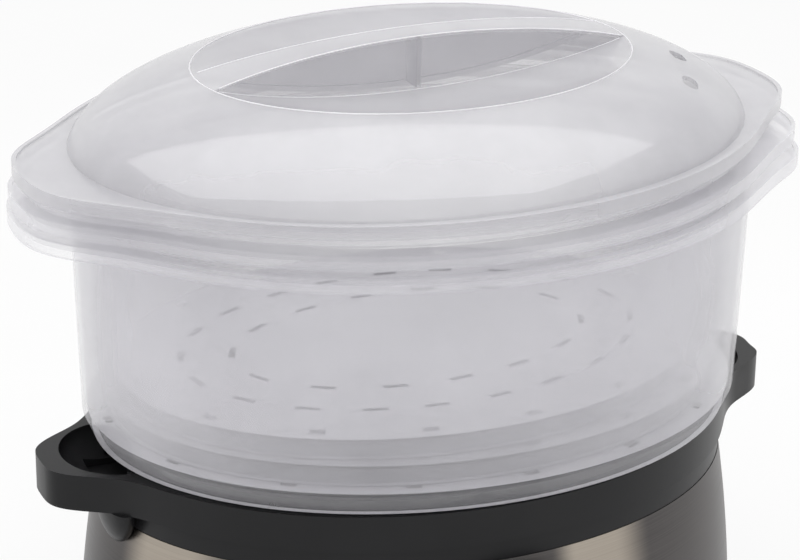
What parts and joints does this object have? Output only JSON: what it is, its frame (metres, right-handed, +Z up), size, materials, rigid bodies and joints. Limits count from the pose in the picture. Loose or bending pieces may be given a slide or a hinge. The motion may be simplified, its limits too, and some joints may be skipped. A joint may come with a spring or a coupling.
{
  "type": "electric food steamer",
  "caption": "Oval electric food steamer, packed away: domed lid on nested translucent bowls over a steel base with a black collar and timer knob.",
  "frame": {"origin": "on the table under the middle of the base", "axes": "+Z up, X through the two ears, the timer knob faces -Y"},
  "size_m": [0.3, 0.228, 0.2623],
  "materials": {
    "clear_plastic": "frosted translucent polypropylene",
    "black_plastic": "satin to gloss moulded black",
    "brushed_steel": "brushed round the wrap",
    "tank_plastic": "plain moulded dark grey",
    "tray_plastic": "plain moulded light grey",
    "ring_plastic": "plain moulded dark grey",
    "heater_steel": "pressed stainless steel",
    "element_steel": "dull sheathed tube",
    "fastener_steel": "zinc plated",
    "seal_rubber": "silicone rubber",
    "foot_rubber": "matt rubber",
    "part_ceramic": "moulded cream insulator",
    "timer_plastic": "plain moulded white",
    "knob_plastic": "gloss black",
    "lamp_red": "clear red lens",
    "lamp_glass": "small neon lamp"
  },
  "bodies": {
    "base": {"collar": "black_plastic", "steel_sleeve": "brushed_steel", "water_tank": "tank_plastic", "tank_screws": "fastener_steel", "cover_screws": "fastener_steel", "heater_plate": "heater_steel", "heater_seal": "seal_rubber", "heater_clamp": "fastener_steel", "heater_nuts": "fastener_steel", "heater_element": "element_steel", "thermostat": "part_ceramic", "thermal_fuse": "part_ceramic", "bottom_cover": "black_plastic", "rubber_feet": "foot_rubber", "terminal_block": "part_ceramic", "terminal_screws": "fastener_steel", "control_bezel": "black_plastic", "timer_body": "timer_plastic", "timer_screws": "fastener_steel", "pilot_lens": "lamp_red", "pilot_lamp": "lamp_glass", "cord_gland": "black_plastic"},
    "steam_ring": {"steam_ring": "ring_plastic"},
    "drip_tray": {"drip_tray": "tray_plastic"},
    "bowl_large": {"bowl_large": "clear_plastic"},
    "bowl_medium": {"bowl_medium": "clear_plastic"},
    "bowl_small": {"bowl_small": "clear_plastic"},
    "lid": {"lid": "clear_plastic"},
    "timer": {"timer_knob": "knob_plastic", "timer_shaft": "timer_plastic"}
  },
  "joints": [
    {"name": "steam_ring_lift", "type": "slide", "parent": "base", "child": "steam_ring", "axis": [0, 0, 1], "range_m": [0, 0.06]},
    {"name": "drip_tray_lift", "type": "slide", "parent": "steam_ring", "child": "drip_tray", "axis": [0, 0, 1], "range_m": [0, 0.06]},
    {"name": "bowl_large_lift", "type": "slide", "parent": "drip_tray", "child": "bowl_large", "axis": [0, 0, 1], "range_m": [0, 0.1]},
    {"name": "bowl_medium_lift", "type": "slide", "parent": "bowl_large", "child": "bowl_medium", "axis": [0, 0, 1], "range_m": [0, 0.1]},
    {"name": "bowl_small_lift", "type": "slide", "parent": "bowl_medium", "child": "bowl_small", "axis": [0, 0, 1], "range_m": [0, 0.1]},
    {"name": "lid_lift", "type": "slide", "parent": "bowl_small", "child": "lid", "axis": [0, 0, 1], "range_m": [0, 0.06]},
    {"name": "timer_turn", "type": "hinge", "parent": "base", "child": "timer", "pos_m": [0, -0.1, 0.056], "axis": [0, 1, 0], "range_deg": [0, 300]}
  ]
}
